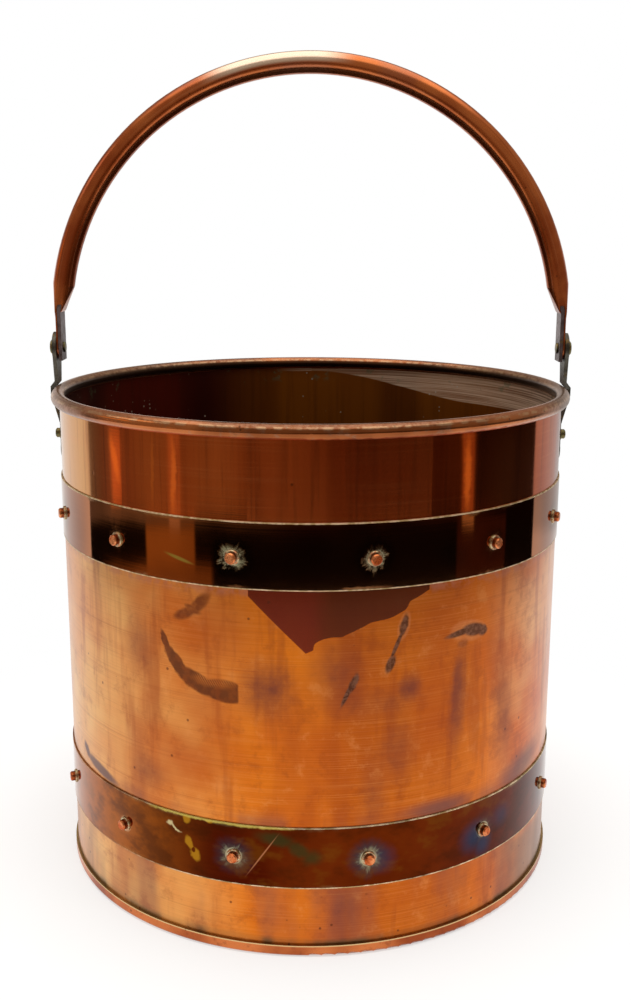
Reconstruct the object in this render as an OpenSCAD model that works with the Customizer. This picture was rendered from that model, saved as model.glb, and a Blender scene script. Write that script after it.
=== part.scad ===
// Riveted copper bucket with a wired rim and a swinging tube handle.
// Millimetres, +Z up, origin at the middle of the underside of the base.

/* [Bucket] */
// Outside radius of the copper wall
wall_r = 165; // [120:1:220]
// Thickness of the wall's sheet
wall_t = 0.9; // [0.7:0.1:1.5]
// Height of the rim's middle above the ground
rim_z = 315.3; // [240:0.1:400]

/* [Rim] */
// Radius of the rolled bead round the rim
bead_r = 4.4; // [3.4:0.1:6.5]
// How far the bead's middle lies outside the middle of the wall's sheet
bead_shift = 1.25; // [0.8:0.05:2]
// Slit left between the rolled edge and the rest of the bead
curl_slit = 0.5; // [0.3:0.1:0.8]

/* [Base] */
// Thickness of the base's sheet
base_t = 1.5; // [1:0.1:2.5]
// Height of the flange turned up round the wall
base_flange_h = 7; // [5:0.5:15]
// Rounding of the base's lower corner
base_round = 2.2; // [1:0.1:3]

/* [Bands] */
// Height of each band
band_h = 39; // [25:1:50]
// Thickness of each band
band_t = 0.9; // [0.6:0.1:2]
// Rounding of the bands' outer edges
band_round = 0.35; // [0.1:0.05:0.5]
// Middle of the upper band below the rim's middle
upper_band_drop = 69.9; // [66:0.1:90]
// Middle of the lower band above the ground
lower_band_z = 63.4; // [45:0.1:80]

/* [Rivets] */
// Number of rivets in each band
rivet_count = 13; // [8:1:18]
// Diameter of the rivets' shanks
rivet_d = 6.4; // [4:0.1:7]
// Length of rivet that stands out of the band
rivet_proud = 4; // [2:0.1:4]
// Diameter of the rivets' heads inside the bucket
rivet_head_d = 10; // [8:0.5:14]
// Thickness of the rivets' heads
rivet_head_t = 1.5; // [1:0.1:3]
// Diameter of the washers under the rivets' ends
washer_d = 8.8; // [8.6:0.1:12]
// Thickness of the washers
washer_t = 1.1; // [0.8:0.1:1.5]
// Turn of the upper band's rivets round the bucket, in degrees
upper_rivet_turn = -1.1; // [-14:0.1:14]
// Turn of the lower band's rivets round the bucket, in degrees
lower_rivet_turn = -1.6; // [-14:0.1:14]
// Rivets sit this much below the middle of their band
rivet_drop = 1.3; // [0:0.1:3]

/* [Lugs] */
// Thickness of the flat iron that the lugs are forged from
lug_t = 2.6; // [2:0.1:4]
// Gap between the lug's pivot face and the line of the wall
lug_offset = 2.5; // [2:0.1:6]
// Radius of the lug's round eye
lug_eye_r = 10; // [8:0.5:14]
// Half width of the lug where it passes the bead
lug_waist = 4.5; // [3:0.5:8]
// Half width of the strap that lies on the wall
lug_strap_w = 7; // [6:0.5:12]
// Length of the strap below the rim's middle
lug_drop = 46; // [36:1:48]
// Height of the strap's rivet above the strap's lower end
lug_rivet_rise = 17; // [12:1:20]
// Height of the pivot above the rim's middle
pivot_rise = 28.7; // [24:0.1:50]

/* [Handle] */
// Diameter of the handle's copper tube
tube_d = 14.2; // [12:0.2:20]
// Wall of the handle's tube
tube_t = 1; // [0.8:0.1:1.5]
// Height of the arch's middle above the pivot
arch_rise = 15.5; // [14:0.5:40]
// How far the tube's middle lies inside the iron tang's middle
arch_inset = 0.9; // [0:0.1:2]
// Angle of arch at each end where the tube is squeezed flat
squeeze_angle = 9; // [5:0.1:11]
// Thickness of the squeezed copper tongue that runs down to the pivot
tongue_t = 1; // [0.8:0.1:2]
// Half width of the squeezed tongue and of the iron tang
tang_w = 7.2; // [6:0.1:9]
// Thickness of the iron tang
tang_t = 2.2; // [1.8:0.1:3]
// Length of tang below the pivot
tang_tail = 8.5; // [7:0.5:12]
// Angle of arch that the tang's round end fills inside the tube
spigot_angle = 9; // [6:1:20]
// Diameter of the pivot pins
pin_d = 5; // [4:0.1:6]
// Diameter of the pivot pins' outer heads
pin_head_d = 9; // [7:0.5:12]
// Thickness of the pivot pins' outer heads
pin_head_t = 2.3; // [1.5:0.1:3]

/* [Fits] */
// Clearance of a rivet or pin in its hole, on the radius
hole_gap = 0.05; // [0.02:0.01:0.1]
// Gap under a flat head that sits on a curved sheet
seat_gap = 0.1; // [0.08:0.01:0.2]
// Gap between pieces that are fixed together
fit_gap = 0.1; // [0.05:0.01:0.2]
// Gap between the squeezed copper and the tang inside it
squeeze_gap = 0.25; // [0.2:0.05:0.4]
// Gap between faces that turn on each other
run_gap = 0.2; // [0.1:0.05:0.4]
// Gap between the lug and the bead that it bends round
bead_gap = 0.3; // [0.2:0.05:0.5]

/* [Hidden] */
$fn = 96;
hull_fn = 32;
eps = 0.05;

copper = [0.80, 0.42, 0.22];
dark_copper = [0.38, 0.17, 0.09];
iron = [0.42, 0.40, 0.39];

wall_in = wall_r - wall_t;
bead_x = wall_r - wall_t / 2 + bead_shift;
bead_out = bead_x + bead_r;
bead_hollow = bead_r - wall_t;
wall_top = rim_z - sqrt(pow(bead_r - wall_t / 2, 2) - pow(bead_shift, 2));
curl_angle = -72;
wire_r = bead_hollow - fit_gap;

base_in = wall_r + fit_gap;
base_out = base_in + base_t;

band_out = wall_r + band_t;
upper_band_z = rim_z - upper_band_drop;

rivet_r = rivet_d / 2;
rivet_hole_r = rivet_r + hole_gap;
rivet_chamfer = 0.7;
head_chamfer = 0.5;
front = -90;
rivet_step = 360 / rivet_count;

pivot_z = rim_z + pivot_rise;
lug_x = wall_r + lug_offset;
lug_low_z = rim_z - lug_drop;
lug_rivet_z = lug_low_z + lug_rivet_rise;
// Run of the lug's bends above and below the bead's middle
crank_in = 1.9;
crank_up = 5.6;
crank_down = 21;
// The lug's straight edges run into its round ends this far inside them
lug_step = 0.8;
lug_path = [[wall_r, lug_low_z],
            [wall_r, rim_z - crank_down],
            [bead_out + bead_gap, rim_z - crank_in],
            [bead_out + bead_gap, rim_z + crank_in],
            [lug_x, rim_z + crank_up],
            [lug_x, pivot_z + lug_eye_r]];

tongue_x = lug_x - run_gap - tongue_t;
tang_x = tongue_x - squeeze_gap - tang_t;
arch_r = tang_x + tang_t / 2 - arch_inset;
arch_z = pivot_z + arch_rise;
tube_r = tube_d / 2;
bore_r = tube_r - tube_t;
spigot_r = bore_r - fit_gap;
pin_r = pin_d / 2;
pin_hole_r = pin_r + hole_gap;
pin_tail_r = 3.6;
pin_tail_t = 0.9;
// Height at which the tang and the copper round it become flat
squeeze_z = arch_z + 8.5;
// The nose of the squeezed copper has this wall round the tang, and runs out into the tongue below it
nose_wall = 0.7;
nose_run = 4.2;
nose_x = tang_x - squeeze_gap - nose_wall;
nose_t = tongue_x + tongue_t + nose_wall / 2 - nose_x;
// Oval waist of the squeezed copper, as shares of the way from the nose to the round tube
waist_rise = 0.42;
waist_fill = 0.56;
waist_z = squeeze_z + waist_rise * (arch_z + arch_r * sin(squeeze_angle) - squeeze_z);
waist_x = nose_x + nose_t / 2 + waist_rise * (arch_r * cos(squeeze_angle) - nose_x - nose_t / 2);
waist_r = nose_t / 2 + waist_fill * (tube_r - nose_t / 2);
// The squeezed end laps into the tube's wall by this much
squeeze_lap = 0.6;

// Normal of a stretch of outline, on its outer side
function stretch_normal(a, b) = [b.y - a.y, a.x - b.x] / norm(b - a);

// Offset direction at point i of an outline, so that a strip keeps its thickness round corners
function corner(p, i) =
    i == 0 ? stretch_normal(p[0], p[1]) :
    i == len(p) - 1 ? stretch_normal(p[i - 1], p[i]) :
    let (n1 = stretch_normal(p[i - 1], p[i]), n2 = stretch_normal(p[i], p[i + 1]))
    (n1 + n2) / (1 + n1 * n2);

// Closed outline of a strip of thickness t that lies on path p
function strip(p, t) = concat(p, [for (i = [len(p) - 1 : -1 : 0]) p[i] + t * corner(p, i)]);

// Everything with an x axis pointing out of the wall, turned to a place round the bucket
module at_wall(angle, z) {
    rotate([0, 0, angle]) translate([0, 0, z]) rotate([0, 90, 0]) children();
}

// Angles of the rivets round a band, two of them half a step to each side of its turn from the front
function rivet_angles(turn) = [for (i = [0 : rivet_count - 1]) front + turn + (i + 0.5) * rivet_step];

module rivet_holes(turn, z, from, to) {
    for (a = rivet_angles(turn))
        at_wall(a, z) translate([0, 0, from]) cylinder(r = rivet_hole_r, h = to - from);
}

// Rivet with its head inside the wall and its end standing out of the face at radius seat
module rivet(seat) {
    foot = wall_in - seat_gap;
    tip = seat + rivet_proud;
    rotate_extrude() polygon([
        [0, foot - rivet_head_t],
        [rivet_head_d / 2 - head_chamfer, foot - rivet_head_t],
        [rivet_head_d / 2, foot - rivet_head_t + head_chamfer],
        [rivet_head_d / 2, foot],
        [rivet_r, foot],
        [rivet_r, tip - rivet_chamfer],
        [rivet_r - rivet_chamfer, tip],
        [0, tip]]);
}

// Flat washer round a rivet, on the face at radius seat
module washer(seat) {
    translate([0, 0, seat]) difference() {
        rotate_extrude() polygon([
            [0, 0],
            [washer_d / 2, 0],
            [washer_d / 2, washer_t - head_chamfer],
            [washer_d / 2 - head_chamfer, washer_t],
            [0, washer_t]]);
        translate([0, 0, -washer_t]) cylinder(r = rivet_hole_r, h = 3 * washer_t);
    }
}

module bead_section() {
    translate([bead_x, rim_z]) difference() {
        circle(r = bead_r);
        circle(r = bead_hollow);
        rotate(curl_angle) translate([bead_hollow / 2, -curl_slit / 2]) square([bead_r, curl_slit]);
    }
}

module body() {
    color(copper) difference() {
        rotate_extrude() union() {
            translate([wall_in, base_t]) square([wall_t, wall_top - base_t]);
            bead_section();
        }
        rivet_holes(upper_rivet_turn, upper_band_z - rivet_drop, wall_in - band_t, band_out + band_t);
        rivet_holes(lower_rivet_turn, lower_band_z - rivet_drop, wall_in - band_t, band_out + band_t);
        for (a = [0, 180])
            at_wall(a, lug_rivet_z)
                translate([0, 0, wall_in - wall_t]) cylinder(r = rivet_hole_r, h = 3 * wall_t);
    }
}

module rim_wire() {
    color(iron) rotate_extrude() translate([bead_x, rim_z]) circle(r = wire_r);
}

module base() {
    color(copper) rotate_extrude() difference() {
        union() {
            square([base_out - base_round, base_flange_h]);
            translate([0, base_round]) square([base_out, base_flange_h - base_round]);
            translate([base_out - base_round, base_round]) circle(r = base_round);
        }
        translate([0, base_t]) square([base_in, base_flange_h]);
    }
}

module band(z, turn) {
    difference() {
        translate([0, 0, z - band_h / 2]) rotate_extrude() union() {
            translate([wall_r, 0]) square([band_t - band_round, band_h]);
            translate([wall_r, band_round]) square([band_t, band_h - 2 * band_round]);
            for (edge = [band_round, band_h - band_round])
                translate([band_out - band_round, edge]) circle(r = band_round);
        }
        rivet_holes(turn, z - rivet_drop, wall_in - band_t, band_out + band_t);
    }
}

module upper_band() {
    color(dark_copper) band(upper_band_z, upper_rivet_turn);
}

module lower_band() {
    color(dark_copper) band(lower_band_z, lower_rivet_turn);
}

module upper_band_rivets() {
    color(copper) for (a = rivet_angles(upper_rivet_turn))
        at_wall(a, upper_band_z - rivet_drop) rivet(band_out);
}

module lower_band_rivets() {
    color(copper) for (a = rivet_angles(lower_rivet_turn))
        at_wall(a, lower_band_z - rivet_drop) rivet(band_out);
}

module upper_band_washers() {
    color(copper) for (a = rivet_angles(upper_rivet_turn))
        at_wall(a, upper_band_z - rivet_drop) washer(band_out);
}

module lower_band_washers() {
    color(copper) for (a = rivet_angles(lower_rivet_turn))
        at_wall(a, lower_band_z - rivet_drop) washer(band_out);
}

// Lug seen face on: a leaf with a round eye, a waist at the bead and a round lower end
module lug_face() {
    side = [[lug_strap_w - lug_step, lug_low_z + lug_strap_w],
            [lug_strap_w - lug_step, rim_z - crank_down],
            [lug_waist, rim_z - crank_in],
            [lug_waist, rim_z + crank_in],
            [lug_eye_r - lug_step, pivot_z]];
    polygon(concat(side, [for (i = [len(side) - 1 : -1 : 0]) [-side[i].x, side[i].y]]));
    translate([0, pivot_z]) circle(r = lug_eye_r);
    translate([0, lug_low_z + lug_strap_w]) circle(r = lug_strap_w);
}

// Lug of the +X side: a cranked strip cut to the leaf's outline
module lug() {
    difference() {
        intersection() {
            translate([0, lug_eye_r, 0]) rotate([90, 0, 0])
                linear_extrude(2 * lug_eye_r) polygon(strip(lug_path, lug_t));
            rotate([90, 0, 90]) linear_extrude(2 * bead_out) lug_face();
        }
        at_wall(0, pivot_z) translate([0, 0, wall_in]) cylinder(r = pin_hole_r, h = 2 * bead_r + lug_t);
        at_wall(0, lug_rivet_z) translate([0, 0, wall_in]) cylinder(r = rivet_hole_r, h = 2 * lug_t);
    }
}

module left_lug() { color(iron) mirror([1, 0, 0]) lug(); }
module right_lug() { color(iron) lug(); }

module left_lug_rivet() { color(copper) at_wall(180, lug_rivet_z) rivet(wall_r + lug_t); }
module right_lug_rivet() { color(copper) at_wall(0, lug_rivet_z) rivet(wall_r + lug_t); }
module left_lug_washer() { color(copper) at_wall(180, lug_rivet_z) washer(wall_r + lug_t); }
module right_lug_washer() { color(copper) at_wall(0, lug_rivet_z) washer(wall_r + lug_t); }

// Disc across the +X end of the tube, from one distance above the tube's end to another
module arch_disc(r, from, to) {
    translate([0, 0, arch_z]) rotate([0, -squeeze_angle, 0]) translate([arch_r, 0, from])
        cylinder(r = r, h = to - from, $fn = hull_fn);
}

// Part of a ring that follows the arch between two angles
module arch_bar(r, from, to) {
    translate([0, 0, arch_z]) rotate([90, 0, 0]) rotate([0, 0, from])
        rotate_extrude(angle = to - from) translate([arch_r, 0]) circle(r = r);
}

// Flat plate across the pivot line: from x, t thick, half width w, between two heights
module flat(x, t, w, from, to) {
    translate([x, -w, from]) cube([t, 2 * w, to - from]);
}

// Flattened part of the tang, with gap all round, from reach inside the tube down past the pivot
module tang_flat(gap, reach) {
    hull() {
        arch_disc(spigot_r - eps + gap, -squeeze_lap, reach);
        flat(tang_x - gap, tang_t + 2 * gap, tang_w + gap, squeeze_z - eps, squeeze_z);
    }
    flat(tang_x - gap, tang_t + 2 * gap, tang_w + gap, pivot_z - tang_tail - gap, squeeze_z);
}

// Iron tang of the +X end, with its round spigot in the tube
module tang() {
    difference() {
        union() {
            arch_bar(spigot_r, squeeze_angle, squeeze_angle + spigot_angle);
            tang_flat(0, squeeze_lap);
        }
        at_wall(0, pivot_z) cylinder(r = pin_hole_r, h = bead_out);
    }
}

module left_handle_tang() { color(iron) mirror([1, 0, 0]) tang(); }
module right_handle_tang() { color(iron) tang(); }

// Oval across the +X end, half way between the round tube and the flat nose
module waist() {
    translate([waist_x, 0, waist_z]) scale([waist_r / tube_r, 1, 1])
        cylinder(r = tube_r - eps, h = eps, $fn = hull_fn);
}

// Squeezed end of the tube at +X and the tongue below it
module squeezed_end() {
    difference() {
        union() {
            hull() {
                arch_disc(tube_r - eps, -squeeze_lap, squeeze_lap);
                waist();
                flat(nose_x, nose_t, tang_w, squeeze_z - eps, squeeze_z);
                flat(tongue_x, tongue_t, tang_w, squeeze_z - nose_run, squeeze_z);
            }
            flat(tongue_x, tongue_t, tang_w, pivot_z, squeeze_z);
            at_wall(0, pivot_z) translate([0, 0, tongue_x]) cylinder(r = tang_w + eps, h = tongue_t);
        }
        tang_flat(squeeze_gap, 2 * squeeze_lap);
        at_wall(0, pivot_z) cylinder(r = pin_hole_r, h = bead_out);
    }
}

module handle_tube() {
    color(copper) union() {
        difference() {
            arch_bar(tube_r, squeeze_angle, 180 - squeeze_angle);
            arch_bar(bore_r, squeeze_angle, 180 - squeeze_angle);
        }
        squeezed_end();
        mirror([1, 0, 0]) squeezed_end();
    }
}

// Pivot pin of the +X side: flat head outside the lug, peened end inside the tang
module pivot_pin() {
    inner = tang_x - run_gap;
    outer = lug_x + lug_t + fit_gap;
    at_wall(0, pivot_z) rotate_extrude() polygon([
        [0, inner - pin_tail_t],
        [pin_tail_r - head_chamfer, inner - pin_tail_t],
        [pin_tail_r, inner],
        [pin_r, inner],
        [pin_r, outer],
        [pin_head_d / 2, outer],
        [pin_head_d / 2, outer + pin_head_t - head_chamfer],
        [pin_head_d / 2 - head_chamfer, outer + pin_head_t],
        [0, outer + pin_head_t]]);
}

module left_pivot_pin() { color(copper) mirror([1, 0, 0]) pivot_pin(); }
module right_pivot_pin() { color(copper) pivot_pin(); }

body();
rim_wire();
base();
upper_band();
lower_band();
upper_band_rivets();
upper_band_washers();
lower_band_rivets();
lower_band_washers();
left_lug();
right_lug();
left_lug_rivet();
right_lug_rivet();
left_lug_washer();
right_lug_washer();
handle_tube();
left_handle_tang();
right_handle_tang();
left_pivot_pin();
right_pivot_pin();
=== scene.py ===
import math

import bpy
from mathutils import Matrix, Vector


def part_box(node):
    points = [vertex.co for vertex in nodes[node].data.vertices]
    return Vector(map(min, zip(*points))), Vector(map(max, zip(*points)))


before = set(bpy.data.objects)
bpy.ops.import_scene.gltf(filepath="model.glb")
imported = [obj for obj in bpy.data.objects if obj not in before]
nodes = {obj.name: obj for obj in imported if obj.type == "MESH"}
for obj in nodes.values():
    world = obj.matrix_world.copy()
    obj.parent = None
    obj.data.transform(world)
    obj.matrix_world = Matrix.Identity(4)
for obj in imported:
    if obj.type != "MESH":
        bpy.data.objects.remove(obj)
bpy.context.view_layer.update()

# Camera, fitted to the ellipses of the rim and the foot; lengths are metres and angles radians
CAMERA_DISTANCE = 0.8052
CAMERA_HEIGHT = 0.4244
CAMERA_SIDE = 0.00345
CAMERA_TILT = 0.2251
CAMERA_ROLL = 0.0028
CAMERA_LENS = 43.5
CAMERA_SENSOR = 36.0

# Sizes of the copper work, as in the CAD
WALL_R = 0.165
WALL_MIDDLE = 0.16455
BEAD_LOW = 0.3106
ARCH_R = 0.16401
ARCH_Z = 0.3595
TUBE_R = 0.0071
RIVET_COUNT = 13
UPPER_RIVET_TURN = -1.1
LOWER_RIVET_TURN = -1.6
MM = 0.001

# Constant sockets of the copper's shader
SHEEN_ROUGHNESS = 0.36
SHEEN_TINT = (1.0, 0.9, 0.74, 1.0)
COAT_ROUGHNESS = 0.12
COAT_IOR = 1.4

# How far noise shakes the outline of a mark, in metres
SHAKE = 0.004

# Floor disc and light; metres and watts
FLOOR_REACH = 0.87
FLOOR_SIDES = 96
FLOOR_DROP = 0.0002
LIGHT_PLACE = (0.0, -0.1, 1.5)
LIGHT_AIM = (0.0, 0.0, 0.2)
LIGHT_SIZE = (1.3, 1.0)
LIGHT_POWER = 20.0
WHITE = (1.0, 1.0, 1.0, 1.0)


def tint(red, green, blue):
    """Linear colour of an 8-bit screen colour."""
    def linear(level):
        share = level / 255
        return share / 12.92 if share <= 0.04045 else ((share + 0.055) / 1.055) ** 2.4
    return (linear(red), linear(green), linear(blue), 1.0)


class Value:
    """Output of a node. Arithmetic on it adds Math nodes to its tree."""

    def __init__(self, graph, socket):
        self.graph = graph
        self.socket = socket

    def __add__(self, other):
        return self.graph.math("ADD", self, other)

    def __sub__(self, other):
        return self.graph.math("SUBTRACT", self, other)

    def __rsub__(self, other):
        return self.graph.math("SUBTRACT", other, self)

    def __mul__(self, other):
        return self.graph.math("MULTIPLY", self, other)

    def __truediv__(self, other):
        return self.graph.math("DIVIDE", self, other)

    __radd__ = __add__
    __rmul__ = __mul__


class Graph:
    """Short calls that build one node tree."""

    def __init__(self, tree):
        self.tree = tree

    def node(self, kind, inputs=(), **settings):
        """New node with its settings, and with values or links for its inputs, by name or by place."""
        made = self.tree.nodes.new(kind)
        for key, value in settings.items():
            setattr(made, key, value)
        for key, value in (inputs.items() if isinstance(inputs, dict) else enumerate(inputs)):
            self.feed(made.inputs[key], value)
        return made

    def feed(self, socket, value):
        if isinstance(value, Value):
            self.tree.links.new(value.socket, socket)
        elif value is not None:
            socket.default_value = value

    def out(self, node, key=0):
        return Value(self, node.outputs[key])

    def math(self, operation, *values):
        return self.out(self.node("ShaderNodeMath", values, operation=operation))

    def larger(self, *values):
        result = values[0]
        for value in values[1:]:
            result = self.math("MAXIMUM", result, value)
        return result

    def smooth(self, value, start, end, low=0.0, high=1.0):
        """Smooth step of value from low at start to high at end."""
        return self.out(self.node("ShaderNodeMapRange", (value, start, end, low, high),
                                  interpolation_type="SMOOTHSTEP"))

    def band(self, value, low, high, soft):
        """1 between low and high, falling to 0 over soft outside them."""
        return self.smooth(value, low - soft, low) * self.smooth(value, high + soft, high)

    def vector(self, x=0.0, y=0.0, z=0.0):
        return self.out(self.node("ShaderNodeCombineXYZ", (x, y, z)))

    def split(self, vector):
        made = self.node("ShaderNodeSeparateXYZ", (vector,))
        return [self.out(made, i) for i in range(3)]

    def stretch(self, vector, x, y, z):
        made = self.node("ShaderNodeVectorMath", (vector, (x, y, z)), operation="MULTIPLY")
        return self.out(made)

    def noise(self, vector, scale=1.0, detail=2.0, rough=0.5, warp=0.0):
        made = self.node("ShaderNodeTexNoise", {"Vector": vector, "Scale": scale, "Detail": detail,
                                                "Roughness": rough, "Distortion": warp})
        return self.out(made, "Fac")

    def specks(self, vector, scale, size, share):
        """Round specks in a share of the cells of a Voronoi pattern; size is a share of a cell."""
        made = self.node("ShaderNodeTexVoronoi", {"Vector": vector, "Scale": scale, "Randomness": 1.0})
        chance = self.split(self.out(made, "Color"))
        there = self.smooth(chance[0], share, share * 0.96)
        return self.smooth(self.out(made, "Distance"), size, size * 0.45) * there

    def mix(self, share, first, second):
        made = self.node("ShaderNodeMix", data_type="RGBA", clamp_factor=True)
        self.feed(made.inputs[0], share)
        self.feed(made.inputs[6], first)
        self.feed(made.inputs[7], second)
        return self.out(made, 2)

    def swing(self, noise, reach):
        """Noise centred on 0, with reach between its lowest and highest value."""
        return (noise - 0.5) * reach

    def blend(self, share, first, second):
        """Mix of two numbers."""
        made = self.node("ShaderNodeMix", data_type="FLOAT", clamp_factor=True)
        self.feed(made.inputs[0], share)
        self.feed(made.inputs[2], first)
        self.feed(made.inputs[3], second)
        return self.out(made, 0)


class Paint(Graph):
    """Material of the object, with coordinates that stay on the piece."""

    def __init__(self, name, metallic=1.0, sheen=0.0, coat=0.0):
        self.material = bpy.data.materials.new(name)
        self.material.use_nodes = True
        super().__init__(self.material.node_tree)
        self.shader = self.tree.nodes["Principled BSDF"]
        self.place = self.out(self.node("ShaderNodeTexCoord"), "Object")
        self.x, self.y, self.z = self.split(self.place)
        self.shader.inputs["Metallic"].default_value = metallic
        self.shader.inputs["Sheen Weight"].default_value = sheen
        self.shader.inputs["Sheen Roughness"].default_value = SHEEN_ROUGHNESS
        self.shader.inputs["Sheen Tint"].default_value = SHEEN_TINT
        self.shader.inputs["Coat Weight"].default_value = coat
        self.shader.inputs["Coat Roughness"].default_value = COAT_ROUGHNESS
        self.shader.inputs["Coat IOR"].default_value = COAT_IOR

    def round_the_bucket(self):
        """Distance from the axis, and place on the unrolled wall: metres right of the front, and height."""
        self.radius = self.math("SQRT", self.x * self.x + self.y * self.y)
        self.turn = self.math("ARCTAN2", self.x, self.math("MULTIPLY", self.y, -1.0))
        self.arc = self.turn * WALL_R
        self.sheet = self.vector(self.arc, 0.0, self.z)
        return self

    def mark(self, azimuth, height, across, tall, turn=0.0, soft=0.5, where=None):
        """Soft ellipse on the wall: place in degrees and mm, half sizes in mm, turn in degrees.

        The distance comes from a spherical gradient. With a Vector Math node there instead, Cycles ran
        out of room for the many marks of the wall and rendered it black.
        """
        reach = 1.0 + soft
        made = self.node("ShaderNodeMapping", (
            where or self.sheet, (math.radians(azimuth) * WALL_R, 0.0, height * MM),
            (0.0, math.radians(turn), 0.0), (across * MM * reach, 1.0, tall * MM * reach)),
            vector_type="TEXTURE")
        ball = self.node("ShaderNodeTexGradient", (self.out(made),), gradient_type="SPHERICAL")
        return self.smooth(self.out(ball, 1), 0.0, 2.0 * soft / reach)

    def stroke(self, start, end, half_width, soft=0.4, where=None):
        """Straight stroke between two places on the wall, each in degrees and mm."""
        (a, low), (b, high) = start, end
        along, up = math.radians(b - a) * WALL_R / MM, high - low
        return self.mark((a + b) / 2, (low + high) / 2, math.hypot(along, up) / 2, half_width,
                         -math.degrees(math.atan2(up, along)), soft, where)

    def marks(self, *places, where=None):
        """Largest of several marks, each given as mark takes it."""
        return self.larger(*[self.mark(*place, where=where) for place in places])

    def strokes(self, *places, where=None):
        """Largest of several strokes, each given as stroke takes it."""
        return self.larger(*[self.stroke(*place, where=where) for place in places])

    def finish(self, colour, roughness, height=None, metallic=None):
        """Feeds the shader; height is in mm."""
        self.feed(self.shader.inputs["Base Color"], colour)
        self.feed(self.shader.inputs["Roughness"], roughness)
        if metallic is not None:
            self.feed(self.shader.inputs["Metallic"], metallic)
        if height is not None:
            bump = self.node("ShaderNodeBump", {"Strength": 1.0, "Distance": MM, "Height": height})
            self.feed(self.shader.inputs["Normal"], self.out(bump))
        return self.material


def rivet_rings(paint, turn, height):
    """Distance, across and up in mm from the nearest rivet of a band, and that rivet's number."""
    step = 2 * math.pi / RIVET_COUNT
    place = (paint.turn - math.radians(turn)) / step
    cell = paint.math("FLOOR", place)
    across = (place - cell - 0.5) * (step * WALL_R / MM)
    up = (paint.z - height) / MM
    return paint.math("SQRT", across * across + up * up), across, up, cell


def brushing(paint):
    """Fine horizontal lines of the polishing, one set close together and one of longer scratches."""
    fine = paint.noise(paint.stretch(paint.sheet, 9.0, 1.0, 1500.0), 1.0, 2.0, 0.6)
    long = paint.noise(paint.stretch(paint.sheet, 3.0, 1.0, 420.0), 1.0, 3.0, 0.7)
    return fine, long


def dents(paint):
    """Slow waves of the hammered and rolled sheet, in mm."""
    return paint.noise(paint.place, 9.0, 1.0, 0.4) * 0.35 + paint.noise(paint.place, 30.0, 1.0) * 0.05


def share_noises(p):
    """Noises that several parts of the wall use, and the unrolled wall shaken by them."""
    p.fine, p.long = brushing(p)
    p.blot = p.noise(p.place, 13.0, 3.0, 0.55)
    p.drift = p.noise(p.stretch(p.place, 22.0, 22.0, 5.0), 1.0, 3.0, 0.55)
    p.ragged = p.noise(p.place, 160.0, 3.0, 0.6)
    p.small = p.noise(p.place, 420.0, 2.0, 0.6)
    p.mottle = p.noise(p.place, 55.0, 5.0, 0.7)
    p.slow = p.noise(p.stretch(p.place, 16.0, 16.0, 2.0), 1.0, 2.0)
    p.thin = p.noise(p.stretch(p.place, 260.0, 260.0, 9.0), 1.0, 3.0, 0.6)
    p.wobble = p.vector(p.arc + p.swing(p.ragged, SHAKE), 0.0, p.z + p.swing(p.blot, SHAKE))


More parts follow.
